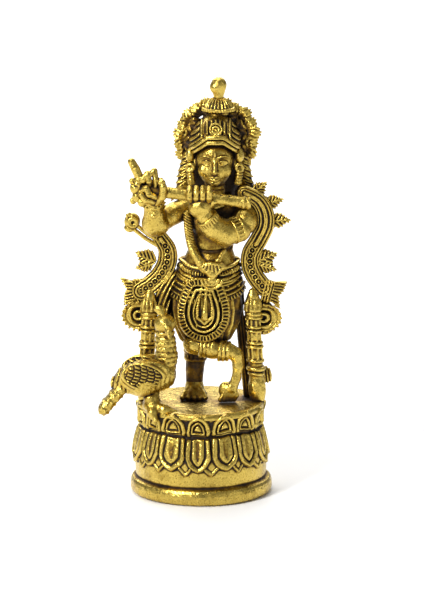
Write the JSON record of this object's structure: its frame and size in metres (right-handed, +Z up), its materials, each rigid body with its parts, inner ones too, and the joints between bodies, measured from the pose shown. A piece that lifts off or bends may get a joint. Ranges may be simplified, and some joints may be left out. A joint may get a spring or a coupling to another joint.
{
  "type": "deity figurine",
  "caption": "Antique brass figurine of a deity playing a flute, with a peacock at its feet, on a round lotus pedestal.",
  "frame": {"origin": "on the round pedestal's axis, in the plane that it rests on", "axes": "+Z up along the pedestal's axis; -Y towards the side that the figure faces; +X towards the figure's left, which is the viewer's right"},
  "size_m": [0.0591, 0.0436, 0.127],
  "materials": {
    "brass_bright": "polished on the raised faces, with thin dark patina in the lines",
    "brass_antique": "satin brass with brown-black patina"
  },
  "bodies": {
    "root": {"plinth_ring": "brass_bright", "lotus_drum": "brass_antique", "lower_petals": "brass_bright", "petal_points": "brass_bright", "upper_petals": "brass_bright", "deck_plate": "brass_bright", "standing_leg": "brass_antique", "standing_foot": "brass_antique", "standing_anklet": "brass_antique", "crossed_shin": "brass_bright", "crossed_foot": "brass_bright", "crossed_anklet": "brass_bright", "skirt": "brass_antique", "apron": "brass_bright", "apron_pendant": "brass_bright", "belt": "brass_bright", "belt_buckle": "brass_bright", "side_drapes": "brass_bright", "torso": "brass_antique", "garland": "brass_bright", "necklace": "brass_antique", "right_upper_arm": "brass_antique", "right_forearm": "brass_bright", "right_hand": "brass_bright", "left_upper_arm": "brass_bright", "left_forearm": "brass_bright", "left_hand": "brass_bright", "armlet": "brass_bright", "bracelets": "brass_bright", "flute": "brass_bright", "head": "brass_bright", "earrings": "brass_bright", "hair": "brass_antique", "hair_locks": "brass_antique", "crown": "brass_bright", "crown_band": "brass_bright", "crown_panel": "brass_bright", "halo": "brass_antique", "halo_tufts": "brass_antique", "fan_cap": "brass_bright", "finial": "brass_bright", "scarf_right": "brass_antique", "scarf_left": "brass_antique", "scarf_end_right": "brass_bright", "scarf_end_left": "brass_bright", "scarf_cord": "brass_bright", "scarf_leaves": "brass_antique", "tassel_right": "brass_bright", "tassel_left": "brass_bright", "scarf_loops": "brass_antique", "back_drape": "brass_antique", "peacock_body": "brass_bright", "peacock_wings": "brass_bright", "peacock_neck": "brass_antique", "peacock_head": "brass_bright", "peacock_tail": "brass_antique", "peacock_stand": "brass_bright"}
  },
  "joints": []
}
